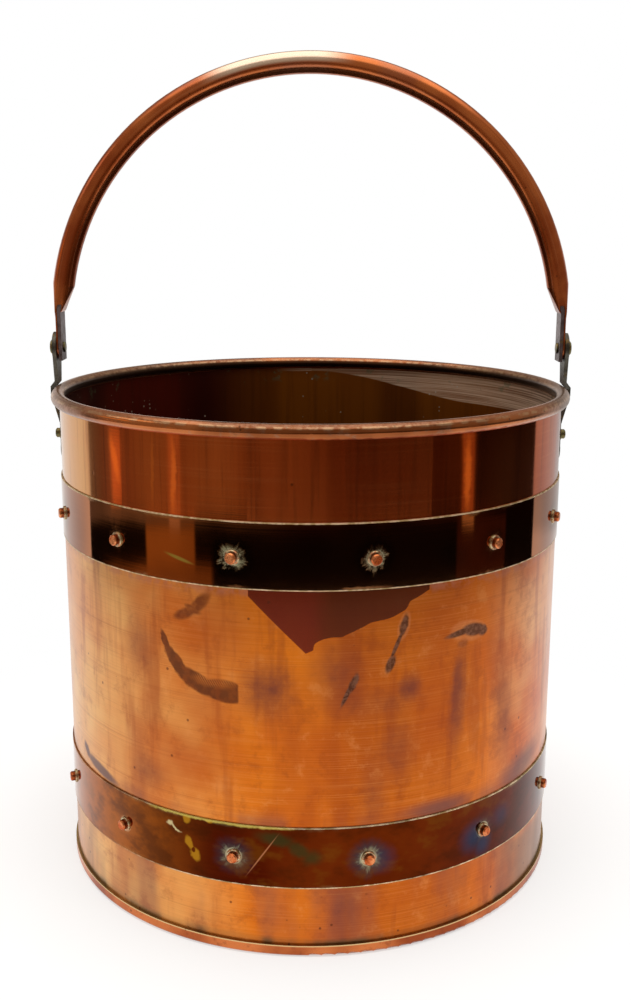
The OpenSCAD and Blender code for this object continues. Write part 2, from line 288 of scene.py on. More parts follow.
def orange_copper(p):
    """Middle and foot of the wall: orange and brushed, with brown and plum tarnish; the paler sides are
    painted reflection.
    """
    # Paler towards the left and right sides: painted reflection of the white sweep that the copper mirrors
    # there.
    left_sweep_reflection = p.smooth(p.arc + p.swing(p.blot, 0.06), -0.03, -0.13) * p.smooth(p.arc, -0.30, -0.20)
    right_sweep_reflection = p.smooth(p.arc + p.swing(p.blot, 0.05), 0.105, 0.16) * p.smooth(p.arc, 0.30, 0.20)
    light = p.mix(left_sweep_reflection, tint(224, 118, 12), tint(236, 182, 108))
    light = p.mix(right_sweep_reflection * 0.75, light, tint(224, 168, 112))
    orange = p.mix(p.smooth(p.blot, 0.35, 0.68) * (1.0 - left_sweep_reflection * 0.5), light, tint(204, 96, 8))
    # Darker orange strip right of the front: painted reflection.
    deep_reflection = p.band(p.arc + p.swing(p.drift, 0.06), 0.04, 0.09, 0.03)
    orange = p.mix(deep_reflection * 0.5, orange, tint(172, 78, 8))
    orange = p.mix(p.smooth(p.drift, 0.52, 0.72) * 0.6, orange, tint(158, 62, 8))
    orange = p.mix(p.smooth(p.long, 0.5, 0.75) * 0.2, orange, tint(160, 70, 20))
    orange = p.mix(p.smooth(p.fine, 0.45, 0.8) * 0.25, orange, tint(240, 160, 84))
    orange = p.mix(p.smooth(p.fine, 0.5, 0.25) * 0.2, orange, tint(150, 66, 14))
    orange = p.mix(p.smooth(p.mottle, 0.50, 0.68) * 0.34, orange, tint(142, 56, 10))
    orange = p.mix(p.smooth(p.mottle, 0.46, 0.30) * 0.2, orange, tint(244, 168, 96))
    runs = p.noise(p.stretch(p.place, 75.0, 75.0, 9.0), 1.0, 3.0, 0.6)
    orange = p.mix(p.smooth(runs, 0.54, 0.72) * 0.4, orange, tint(146, 56, 14))

    # Plum haze: azimuth, height, half width, half height, turn, strength, softness
    plum = tint(116, 58, 44)
    haze = [
        (-8.6, 166.7, 13, 15, 0, 0.9, 0.85), (20.7, 166, 6, 7, 0, 0.9, 0.8),
        (32, 151, 5.5, 24, 3, 0.8, 0.8), (31.6, 160, 3.0, 15, 3, 0.9, 0.7),
        (5.1, 176, 12, 14, 0, 0.6, 0.9), (45.5, 145, 8, 42, -8, 0.55, 0.9),
        (-37.6, 183, 9, 16, 0, 0.5, 0.9), (-35.3, 103, 11, 9, 0, 0.6, 0.9),
        (13.2, 101, 6, 20, 0, 0.45, 0.9), (18.6, 128, 9, 15, 0, 0.5, 0.9),
        (13.4, 158, 24, 8, 0, 0.35, 0.9), (8.5, 33, 9, 12, 0, 0.55, 0.9),
    ]
    uneven = p.smooth(p.mottle, 0.3, 0.65, 0.6, 1.0)
    for azimuth, height, across, tall, turn, strength, soft in haze:
        patch = p.mark(azimuth, height, across, tall, turn, soft, p.wobble)
        orange = p.mix(patch * uneven * (strength * 0.95), orange, plum)
    rear = p.smooth(p.math("ABSOLUTE", p.turn), 1.45, 1.8) * p.smooth(p.drift, 0.56, 0.70)
    orange = p.mix(rear * 0.55, orange, plum)
    reds = p.marks((-18, 199, 20, 22, 0, 0.9), (-25, 120, 26, 16, 0, 0.9), (-20, 150, 16, 26, 0, 0.9),
                   (26, 150, 13, 40, 4, 0.9), where=p.wobble)
    return p.mix(reds * 0.4, orange, tint(168, 62, 12))


def hang_patch(p, orange):
    """Dark patch that hangs below the upper band at the front, with straight edges: painted reflection of a
    dark thing in front.
    """
    tip_arc, tip_z, right_slope, edge = -0.0018, 0.1895, -0.46, 0.0004
    from_tip = p.arc - tip_arc
    above_tip = p.z - tip_z
    bulge = p.mark(3.4, 195.5, 8.0, 4.0) * 0.004 - p.mark(16.5, 212, 12.0, 5.0) * 0.0035
    right_side = from_tip * right_slope + above_tip - bulge + p.swing(p.ragged, 0.001)
    # The hanging patch is painted reflection, fixed on the wall.
    hanging_reflection = p.smooth(from_tip + above_tip, -edge, edge) * p.smooth(right_side, -edge, edge)
    hanging_reflection = hanging_reflection * p.band(p.arc, -0.034, 0.070, 0.0006)
    dark = p.mix(p.smooth(p.arc + p.swing(p.drift, 0.05), 0.0, 0.022), tint(106, 26, 8), tint(88, 30, 2))
    return p.mix(hanging_reflection * 0.95, orange, dark), hanging_reflection


def mark_by_handling(p, orange):
    """Marks left by handling: a crescent with teeth, a claw, spoon shapes and a fish shape.

    Returns the colour, and where the rougher marks are.
    """
    crescent = p.larger(
        p.strokes(((-31.2, 196), (-29.0, 179), 2.2, 0.2), ((-30.4, 187), (-25.2, 169), 4.0, 0.18),
                  ((-27.6, 174), (-18.5, 161), 5.6, 0.16), where=p.wobble),
        p.mark(-17.0, 163.5, 14, 6.8, 8, 0.12, p.wobble))
    crescent = crescent * p.smooth(p.arc + p.swing(p.ragged, 0.002), -0.0400, -0.0412)
    claw = p.strokes(((-27.6, 205), (-22.4, 212.5), 3.0, 0.35), ((-24.0, 208.5), (-20.2, 220.5), 3.4, 0.35),
                     ((-25.2, 213), (-22.0, 209), 2.0, 0.4), where=p.wobble)
    orange = p.mix(claw * p.smooth(p.ragged, 0.3, 0.6, 0.55, 0.85), orange, tint(112, 48, 14))
    # Slanted lines 1.3 mm apart, which cut the crescent's edge into teeth
    comb = p.smooth(p.math("SINE", p.arc * 4200.0 + p.z * 2600.0), -0.2, 0.3)
    teeth = comb * p.mark(-19, 170, 12, 4.0)
    crescent = p.math("MINIMUM", crescent, 1.0 - teeth * 0.8)
    brown = p.mix(p.smooth(p.ragged, 0.4, 0.6), tint(118, 52, 14), tint(88, 36, 12))
    orange = p.mix(crescent * 0.85, orange, brown)

    spoons = p.larger(
        p.strokes(((19.6, 209.5), (18.4, 197), 2.2, 0.3), ((9.6, 177), (8.0, 166), 1.9, 0.35),
                  where=p.wobble),
        p.strokes(((19.0, 202), (16.2, 183), 1.2, 0.35), ((17.0, 186), (15.6, 176), 2.5, 0.3),
                  ((8.7, 172), (6.4, 157.5), 1.3, 0.35)))
    fish = p.larger(
        p.stroke((28.6, 192.2), (36.2, 195.4), 2.0, 0.3, p.wobble),
        p.marks((35.6, 193.8, 9.0, 3.9, 8, 0.25), (38.2, 192.0, 3.6, 3.2, 0, 0.3), where=p.wobble),
        p.mark(32.9, 186.5, 3.4, 2.4, 0, 0.6, p.wobble) * 0.4)
    soot = p.larger(spoons, fish)
    grey = p.mix(p.smooth(p.small, 0.35, 0.65), tint(66, 40, 26), tint(120, 82, 62))
    orange = p.mix(soot * 0.85, orange, grey)
    halo = p.marks((19.0, 203, 3.6, 8.5, 14, 0.2), (34.5, 193.6, 14.0, 6.4, 8, 0.15))
    orange = p.mix((halo - soot) * 0.25, orange, tint(226, 150, 96))
    return orange, p.larger(soot, crescent)


def gather_tarnish_and_shade(p, orange, hanging_reflection, upper_low, lower_high):
    """Tarnish that gathered above the lower band, below the upper one and at the foot, and painted shade at
    the right of the foot.

    Returns the colour, and where the tarnish above the lower band is, which is rougher.
    """
    gather = p.smooth(p.noise(p.stretch(p.place, 26.0, 26.0, 8.0), 1.0, 3.0), 0.44, 0.62)
    near_lower = p.smooth(p.z, lower_high + 0.012, lower_high) * gather
    tarnish = p.larger(
        near_lower * 0.45,
        p.strokes(((-61.5, 98), (-58.5, 90), 3.0, 0.35), ((-60, 92), (-46, 85.5), 3.4, 0.35), where=p.wobble),
        p.marks((54, 90, 26, 9, -12, 0.7), (28, 86, 22, 5, 0, 0.8), where=p.wobble) * 0.8)
    orange = p.mix(tarnish * 0.85, orange, tint(98, 70, 74))
    under_upper = p.smooth(p.z, upper_low - 0.007, upper_low - 0.001) * p.smooth(p.ragged, 0.35, 0.6)
    orange = p.mix(under_upper * (1.0 - hanging_reflection) * 0.5, orange, tint(190, 120, 100))
    # Painted shade: greyer and darker low on the right of the foot.
    foot_shade = p.smooth(p.z, 0.046, 0.036) * p.smooth(p.arc, 0.125, 0.165) * p.smooth(p.arc, 0.30, 0.22)
    orange = p.mix(foot_shade * 0.7, orange, tint(128, 92, 66))
    foot_line = p.smooth(p.z + p.swing(p.blot, 0.010), 0.0125, 0.0080) * p.smooth(gather, 0.0, 1.0, 0.25, 0.8)
    return p.mix(foot_line, orange, tint(82, 70, 44)), tarnish


def polished_copper(p):
    """Top of the wall: polished, darker and redder, with upright streaks. The streaks, the pale left side and
    the bright strokes are painted reflection.
    """
    streak = p.noise(p.stretch(p.place, 60.0, 60.0, 2.2), 1.0, 3.0, 0.6)
    polished = p.mix(p.smooth(p.slow, 0.38, 0.64), tint(208, 104, 44), tint(178, 76, 26))
    # Upright dark streaks: painted reflection of the dark room.
    polished = p.mix(p.smooth(streak, 0.48, 0.72) * 0.6, polished, tint(118, 44, 14))
    # Paler left side of the top: painted reflection of the white sweep.
    pale_left_reflection = p.smooth(p.arc + p.swing(p.blot, 0.01), -0.132, -0.162) * p.smooth(p.arc, -0.32, -0.24)
    polished = p.mix(pale_left_reflection * 0.8, polished, tint(214, 162, 96))
    # Finer upright dark streaks: painted reflection as well.
    polished = p.mix(p.smooth(p.thin, 0.5, 0.75) * 0.45, polished, tint(110, 46, 18))
    # Bright orange strokes: painted reflection.
    reflection_strokes = p.strokes(((-44.2, 304), (-42.0, 281), 2.4, 0.6), ((-32.2, 306), (-32.6, 272), 1.0, 0.6),
                       ((-27.2, 304), (-27.6, 268), 1.6, 0.6), ((32.6, 304), (32.8, 268), 2.4, 0.6),
                       where=p.wobble)
    polished = p.mix(reflection_strokes * 0.75, polished, tint(236, 124, 48))
    return p.mix(p.smooth(p.fine, 0.5, 0.8) * 0.35, polished, tint(232, 144, 88))


def bead_copper(p):
    """Bead: dull and greyish at the sides, bright copper at the front; its grey top and a pale ragged line
    near the top are painted highlight.
    """
    away = p.math("ABSOLUTE", p.turn)
    side = p.smooth(away, 0.55, 1.25) * p.smooth(away, 2.9, 2.2)
    # Grey on top of the bead is painted highlight; at the sides and in ragged spots the bead is dull grey.
    dull = p.larger(side * 0.85, p.smooth(p.z, 0.3168, 0.3186) * 0.4, p.smooth(p.ragged, 0.52, 0.7) * 0.4)
    bead = p.mix(p.smooth(p.blot, 0.4, 0.62), tint(200, 116, 62), tint(134, 70, 32))
    grey = p.mix(p.smooth(p.small, 0.35, 0.7), tint(150, 130, 112), tint(92, 76, 58))
    bead = p.mix(dull * 0.8, bead, grey)
    bead = p.mix(p.specks(p.place, 240.0, 0.2, 0.18) * 0.7, bead, tint(54, 36, 24))
    # Pale ragged line near the top of the bead: painted highlight.
    worn = p.band(p.z, 0.3172, 0.3182, 0.0005) * p.smooth(p.ragged, 0.4, 0.6)
    bead = p.mix(worn * 0.5, bead, tint(214, 176, 136))
    inner_side = p.smooth(p.radius, 0.1633, 0.1620) * p.smooth(p.z, 0.3185, 0.3160)
    return p.mix(inner_side * 0.9, bead, tint(48, 34, 24)), dull


def inside_copper(p):
    """Inside: burnt dark; a brown middle, partly painted light; grey-lilac tarnish under the bead, partly
    painted reflection; pale specks; ash.
    """
    facing = p.math("ARCTAN2", p.x, p.y)
    burnt = p.mix(p.smooth(p.slow, 0.35, 0.62), tint(104, 28, 10), tint(66, 16, 6))
    # Lighter brown over the middle of the inner wall: partly the copper's tone, partly painted light.
    middle = p.band(facing, -0.25, 1.1, 0.3) + p.band(facing, 2.2, 4.0, 0.6) * 0.5
    burnt = p.mix(middle, burnt, p.mix(p.smooth(p.slow, 0.4, 0.6), tint(150, 82, 14), tint(118, 60, 8)))
    burnt = p.mix(p.smooth(p.thin, 0.45, 0.75) * 0.3, burnt, tint(60, 30, 10))
    # Grey-lilac under the bead down to a slanted edge: partly tarnish, partly painted reflection.
    low = 0.3085 - p.smooth(facing, 0.0, 0.8) * 0.018 + p.swing(p.blot, 0.002)
    stripes = p.noise(p.stretch(p.sheet, 7.0, 1.0, 900.0), 1.0, 3.0, 0.65)
    lilac = p.smooth(p.z, low, low + 0.0012) * p.band(facing, 0.0, 1.7, 0.2)
    lilac = lilac * p.smooth(stripes, 0.36, 0.6, 0.25, 1.0)
    burnt = p.mix(lilac * 0.9, burnt, tint(214, 184, 158))
    green = p.smooth(p.noise(p.place, 70.0, 4.0, 0.65), 0.58, 0.66) * p.smooth(p.z, 0.298, 0.306)
    burnt = p.mix(green * 0.5, burnt, tint(104, 124, 98))
    pale = p.specks(p.place, 260.0, 0.26, 0.22) * p.smooth(p.noise(p.place, 34.0, 2.0), 0.56, 0.64)
    burnt = p.mix(pale * 0.8, burnt, tint(196, 186, 170))
    ash = p.smooth(p.z + p.swing(p.blot, 0.05), 0.07, 0.015)
    return p.mix(ash * 0.6, burnt, tint(46, 38, 32)), lilac


def wall_paint():
    """The wall and its bead in one material: orange below the upper band, polished above it, burnt inside."""
    p = Paint("wall_copper", sheen=0.03).round_the_bucket()
    upper_low, upper_high = (corner.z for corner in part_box("upper_band"))
    lower_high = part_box("lower_band")[1].z
    share_noises(p)
    orange, hanging_reflection = hang_patch(p, orange_copper(p))
    orange, handled = mark_by_handling(p, orange)
    orange, tarnish = gather_tarnish_and_shade(p, orange, hanging_reflection, upper_low, lower_high)
    on_top = p.smooth(p.z, upper_high - 0.002, upper_high)
    colour = p.mix(on_top, orange, polished_copper(p))

    pits = p.specks(p.place, 85.0, 0.10, 0.22)
    foot_pits = p.specks(p.place, 150.0, 0.16, 0.34) * p.smooth(p.z, 0.046, 0.03)
    colour = p.mix(p.larger(pits * 0.7, foot_pits * 0.75), colour, tint(92, 40, 16))

    on_bead = p.smooth(p.z, BEAD_LOW, BEAD_LOW + 0.0006)
    bead, dull = bead_copper(p)
    colour = p.mix(on_bead, colour, bead)
    inside = p.smooth(p.radius, WALL_MIDDLE + 0.0001, WALL_MIDDLE - 0.0001) * (1.0 - on_bead)
    burnt, lilac = inside_copper(p)
    colour = p.mix(inside, colour, burnt)

    # Soldered seam of the sheet, up the back
    from_seam = p.math("ABSOLUTE", p.math("ABSOLUTE", p.turn) - math.pi) * WALL_R
    seam = p.smooth(from_seam, 0.0022, 0.0010)
    bare_seam = seam * (1.0 - on_bead) * (1.0 - inside) * p.smooth(p.ragged, 0.3, 0.6, 0.5, 1.0)
    colour = p.mix(bare_seam, colour, tint(176, 146, 92))

    rough = p.blend(on_top, 0.30, 0.09) + p.swing(p.blot, 0.10) + p.swing(p.fine, 0.06)
    rough = p.blend(hanging_reflection, rough, 0.22)
    rough = p.blend(p.larger(handled, tarnish), rough, 0.42)
    rough = p.blend(on_bead, rough, p.blend(dull, 0.13, 0.32))
    rough = p.blend(inside, rough, p.blend(lilac, 0.34 + p.swing(p.blot, 0.2), 0.6))
    lines = p.swing(p.fine, 0.004) + p.swing(p.long, 0.012)
    height = dents(p) + lines * (1.0 - on_bead) + seam * 0.12 - p.larger(pits, foot_pits) * 0.03
    metal = p.blend(p.larger(on_bead * 0.5, inside), 0.94, 0.72) - lilac * inside * 0.35
    p.feed(p.shader.inputs["Coat Weight"], (1.0 - on_top) * (1.0 - inside) * 0.2)
    return p.finish(colour, rough, height, metal)


def band_paint(name, node, turn, dark, light, blue, crusted):
    """Riveted band: a polished strip with worn, pale edges and residue round its rivets.

    crusted lists the front rivets as azimuth and amount of residue; the others draw theirs from a noise.
    """
    p = Paint(name).round_the_bucket()
    low, high = (corner.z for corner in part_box(node))
    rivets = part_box(node + "_rivets")
    rivet_z = (rivets[0].z + rivets[1].z) / 2
    fine, long = brushing(p)
    blot = p.noise(p.place, 16.0, 3.0, 0.55)
    slow = p.noise(p.stretch(p.place, 15.0, 15.0, 8.0), 1.0, 2.0)
    ragged = p.noise(p.place, 210.0, 3.0, 0.65)
    colour = p.mix(p.smooth(slow, 0.36, 0.64), dark, light)
    colour = p.mix(p.smooth(blot, 0.5, 0.75) * 0.4, colour, dark)
    colour = p.mix(p.smooth(fine, 0.5, 0.8) * 0.25, colour, light)

    # Heat tint and verdigris round each rivet, more on some than on others
    distance, across, up, cell = rivet_rings(p, turn, rivet_z)
    ray = p.noise(p.vector(cell * 3.7, across / distance * 2.4, up / distance * 2.4), 1.0, 4.0, 0.75)
    spread = p.noise(p.vector(cell * 5.3, 0.0, 0.0), 1.0, 0.0)
    favoured = p.larger(*[p.mark(azimuth, rivet_z / MM, 16, 16, 0, 0.2) * share
                          for azimuth, share in crusted])
    off_the_front = p.smooth(p.math("ABSOLUTE", p.turn), 0.95, 1.1)
    amount = p.larger(p.smooth(spread, 0.3, 0.7, 0.15, 0.55) * off_the_front, favoured)
    tinted = p.smooth(distance + p.swing(ray, 8.0), 15.0, 6.0)
    colour = p.mix(tinted * p.smooth(amount, 0.0, 1.0, 0.25, 0.85), colour, blue)
    crust = p.smooth(distance + p.swing(ray, 14.0), 8.5, 4.5) * p.smooth(ragged, 0.34, 0.66, 0.1, 0.9)
    colour = p.mix(crust * amount, colour, tint(176, 176, 140))
    tight = p.smooth(distance, 5.6, 4.6)
    colour = p.mix(tight * 0.6, colour, tint(206, 196, 160))

    # Pale worn edges, with residue in places just inside them
    edge = p.math("MINIMUM", p.z - low, high - p.z) / MM
    worn = p.smooth(edge + p.swing(ragged, 0.5), 0.95, 0.55)
    residue = p.smooth(edge + p.swing(ragged, 3.0), 3.0, 1.0)
    residue = residue * p.smooth(p.noise(p.place, 28.0, 3.0), 0.52, 0.66)
    colour = p.mix(residue * 0.35, colour, tint(150, 140, 96))
    edge_colour = p.mix(p.smooth(ragged, 0.4, 0.62), tint(240, 216, 180), tint(196, 172, 122))
    colour = p.mix(worn, colour, edge_colour)
    rough = 0.045 + (blot - 0.4) * 0.04 + p.swing(fine, 0.03)
    rough = p.blend(p.larger(crust * amount, residue * 0.5, worn), rough, 0.5)
    height = dents(p) + p.swing(long, 0.006) + crust * amount * ragged * 0.12 + worn * 0.02
    return p, colour, rough, height


def upper_band_paint():
    """Upper band: smooth and dark, with a short scratch and a smudge."""
    p, colour, rough, height = band_paint(
        "upper_band_copper", "upper_band", UPPER_RIVET_TURN, tint(140, 82, 46), tint(180, 112, 68),
        tint(60, 54, 36), ((-15, 0.8), (12.7, 0.6), (40.4, 0.2), (-42.6, 0.1)))
    scratch = p.stroke((-29.0, 242.2), (-23.6, 238.2), 1.0, 0.5)
    colour = p.mix(scratch, colour, tint(180, 190, 140))
    smudge = p.mark(29.3, 241, 9, 6, 20, 0.8)
    colour = p.mix(smudge * 0.35, colour, tint(96, 96, 92))
    return p.finish(colour, rough, height)


def lower_band_paint():
    """Lower band: red-brown and cloudy, with yellow drips, a green stroke, a scratch and blue heat tint."""
    p, colour, rough, height = band_paint(
        "lower_band_copper", "lower_band", LOWER_RIVET_TURN, tint(70, 16, 2), tint(100, 36, 6),
        tint(34, 50, 60), ((-15.4, 0.4), (12.2, 0.65), (39.9, 0.2), (-43.1, 0.1)))
    # Paler towards the left: partly the band's own tone, partly painted reflection.
    pale = p.smooth(p.arc, -0.05, -0.15) * p.smooth(p.arc, -0.40, -0.25)
    colour = p.mix(pale * 0.75, colour, tint(180, 98, 20))
    ragged = p.noise(p.place, 170.0, 3.0, 0.6)
    clouds = p.noise(p.stretch(p.place, 24.0, 24.0, 40.0), 1.0, 4.0, 0.65)
    colour = p.mix(p.smooth(clouds, 0.46, 0.66) * 0.6, colour, tint(52, 20, 4))
    colour = p.mix(p.smooth(clouds, 0.46, 0.34) * 0.4, colour, tint(112, 64, 14))
    wobble = p.vector(p.arc + p.swing(ragged, SHAKE), 0.0, p.z + p.swing(ragged, 0.003))
    drips = p.larger(
        p.marks((-25.9, 80.5, 2.6, 3.0, 0, 0.3), (-20.6, 82.2, 2.4, 1.6, 0, 0.3), where=wobble),
        p.strokes(((-26.0, 69), (-24.8, 61), 2.3, 0.3), ((-24.6, 62), (-23.4, 54.5), 3.0, 0.3), where=wobble))
    ring = p.mark(-24.4, 61.0, 1.2, 1.6, 0, 0.3)
    colour = p.mix((drips - ring) * 0.75, colour, tint(174, 122, 26))
    top = p.band(p.turn, -0.55, -0.12, 0.1) * p.smooth(p.z + p.swing(ragged, 0.003), 0.0808, 0.0822)
    colour = p.mix(top * 0.8, colour, tint(196, 176, 84))
    white = p.larger(p.mark(-30.2, 74.6, 1.8, 1.6, 0, 0.4, wobble),
                     p.stroke((-30, 74.5), (-27.5, 70.5), 0.9, 0.4, wobble))
    colour = p.mix(white * 0.8, colour, tint(206, 190, 140))
    green = p.larger(
        p.strokes(((-10, 77), (-3, 73), 3.6, 0.6), ((-4, 73.5), (0.4, 64), 3.6, 0.6), where=wobble),
        p.mark(0.6, 64, 5, 4, 0, 0.8, wobble))
    colour = p.mix(green * 0.7, colour, tint(48, 52, 24))
    scratch = p.stroke((-6.8, 75.5), (-12.1, 53.2), 0.4, 0.5)
    colour = p.mix(scratch * 0.6, colour, tint(190, 124, 84))
    blue = p.larger(
        p.marks((37.2, 59.5, 8, 8, 0, 0.8), (40, 52, 6, 6, 0, 0.8), where=wobble),
        p.mark(46, 66, 7, 6, 0, 0.9, wobble) * 0.7,
        p.mark(15.4, 60.5, 6, 7, 0, 0.8, wobble) * 0.5)
    colour = p.mix(blue * 0.6, colour, tint(24, 56, 84))
    return p.finish(colour, rough, height)


def base_paint():
    """Base and its flange: one look outside, a dull scuffed underside and a sooty inner floor."""
    p = Paint("base_copper").round_the_bucket()
    long = brushing(p)[1]
    blot = p.noise(p.place, 18.0, 3.0, 0.55)
    ragged = p.noise(p.place, 190.0, 3.0, 0.6)
    colour = p.mix(p.smooth(blot, 0.38, 0.64), tint(214, 124, 70), tint(160, 78, 42))
    colour = p.mix(p.smooth(ragged, 0.52, 0.7) * 0.4, colour, tint(120, 62, 44))
    top = p.smooth(p.z, 0.0060, 0.0066)
    colour = p.mix(top, colour, tint(226, 192, 138))
    colour = p.mix(p.specks(p.place, 160.0, 0.16, 0.3) * 0.7, colour, tint(84, 46, 24))

    # Underside: dull, scuffed in rings by what it stood on
    rings = p.noise(p.vector(p.radius * 240.0, p.turn * 1.5, 0.0), 1.0, 3.0, 0.65)
    under = p.smooth(p.z, 0.0009, 0.0004) * p.smooth(p.radius, 0.1640, 0.1620)
    scuff = p.mix(p.smooth(blot, 0.36, 0.66), tint(112, 64, 40), tint(64, 42, 32))
    scuff = p.mix(p.smooth(rings, 0.5, 0.7) * 0.5, scuff, tint(158, 100, 66))
    scuff = p.mix(p.smooth(ragged, 0.56, 0.66) * p.smooth(blot, 0.45, 0.6), scuff, tint(86, 110, 88))
    scuff = p.mix(p.smooth(p.radius, 0.150, 0.162) * 0.6, scuff, tint(186, 112, 70))
    colour = p.mix(under, colour, scuff)

    # Inner floor: soot, ash and scratches
    floor = p.smooth(p.z, 0.0010, 0.0014) * p.smooth(p.radius, 0.1645, 0.1640)
    ash = p.mix(p.smooth(blot, 0.36, 0.64), tint(54, 32, 20), tint(26, 18, 14))
    grit = p.noise(p.place, 620.0, 2.0, 0.7)
    ash = p.mix(p.smooth(grit, 0.5, 0.72) * 0.5, ash, tint(110, 96, 84))
    scored = p.noise(p.stretch(p.place, 40.0, 500.0, 1.0), 1.0, 2.0, 0.5, 1.5)
    ash = p.mix(p.smooth(scored, 0.62, 0.72) * 0.5, ash, tint(150, 88, 52))
    ash = p.mix(p.smooth(p.radius + p.swing(blot, 0.03), 0.135, 0.16) * 0.7, ash, tint(20, 14, 12))
    colour = p.mix(floor, colour, ash)
    rough = p.blend(p.larger(under, floor), 0.26 + p.swing(blot, 0.2), 0.6)
    height = dents(p) + p.swing(long, 0.01) + grit * floor * 0.08
    return p.finish(colour, rough, height)


def rivet_paint(name, end, flank):
    """Rivets of the bands: bright ends, dull flanks with pale residue in the corners, dark heads inside."""
    p = Paint(name).round_the_bucket()
    ragged = p.noise(p.place, 700.0, 3.0, 0.65)
    blot = p.noise(p.place, 150.0, 2.0)
    out = p.smooth(p.radius, WALL_R + 0.0030, WALL_R + 0.0044)
    colour = p.mix(out, flank, p.mix(p.smooth(blot, 0.35, 0.65), end, tint(196, 92, 44)))
    colour = p.mix(p.smooth(ragged, 0.5, 0.68) * 0.55, colour, tint(92, 44, 24))
    crust = p.smooth(p.radius, WALL_R + 0.0022, WALL_R + 0.0012) * p.smooth(blot, 0.35, 0.6, 0.4, 1.0)
    colour = p.mix(crust * 0.7, colour, tint(150, 150, 112))
    inner = p.smooth(p.radius, WALL_MIDDLE, WALL_MIDDLE - 0.0004)
    colour = p.mix(inner, colour, p.mix(p.smooth(blot, 0.4, 0.6), tint(64, 34, 18), tint(40, 24, 16)))
    rough = p.blend(p.larger(crust, inner), 0.30 + p.swing(ragged, 0.3), 0.55)
    return p.finish(colour, rough, ragged * 0.12 + blot * 0.1)


def washer_paint():
    """Washers of the bands: copper under pale residue."""
    p = Paint("washer_copper").round_the_bucket()
    ragged = p.noise(p.place, 700.0, 3.0, 0.65)
    blot = p.noise(p.place, 170.0, 2.0)
    colour = p.mix(p.smooth(blot, 0.4, 0.6), tint(206, 128, 88), tint(160, 92, 60))
    colour = p.mix(p.smooth(ragged, 0.36, 0.6) * 0.9, colour, tint(206, 196, 156))
    rough = 0.36 + p.swing(ragged, 0.3)
    return p.finish(colour, rough, ragged * 0.12)


def iron_paint(name, light, dark, rust_share):
    """Forged iron, grey, with patches of rust and brassy tarnish, and darker where it passes the bead."""
    p = Paint(name, metallic=0.85)
    blot = p.noise(p.place, 70.0, 3.0, 0.6)
    ragged = p.noise(p.place, 420.0, 4.0, 0.65)
    hammer = p.noise(p.stretch(p.place, 90.0, 90.0, 60.0), 1.0, 1.0)
    colour = p.mix(p.smooth(blot, 0.36, 0.62), light, dark)
    colour = p.mix(p.smooth(ragged, 0.5, 0.7) * 0.6, colour, tint(70, 60, 50))
    rust = p.smooth(p.noise(p.place, 130.0, 3.0, 0.6), 0.60 - rust_share, 0.72 - rust_share)
    colour = p.mix(rust * 0.7, colour, p.mix(ragged, tint(128, 84, 48), tint(150, 138, 90)))
    # Darker band at the height of the bead.
    dark_at_bead = p.smooth(p.z, 0.322, 0.312) * p.smooth(p.z, 0.300, 0.312)
    colour = p.mix(dark_at_bead * 0.7, colour, tint(34, 30, 26))
    rough = 0.42 + p.swing(ragged, 0.3) + rust * 0.2
    return p.finish(colour, rough, hammer * 0.25 + ragged * 0.06)


def brass_paint():
    """Rivets and washers of the lugs, and pivot pins: yellowed, with verdigris."""
    p = Paint("pin_copper")
    blot = p.noise(p.place, 260.0, 3.0, 0.6)
    ragged = p.noise(p.place, 800.0, 3.0, 0.6)
    colour = p.mix(p.smooth(blot, 0.36, 0.6), tint(150, 126, 78), tint(104, 96, 66))
    colour = p.mix(p.smooth(ragged, 0.48, 0.66) * 0.7, colour, tint(112, 122, 88))
    return p.finish(colour, 0.4 + p.swing(ragged, 0.3), blot * 0.15 + ragged * 0.05)


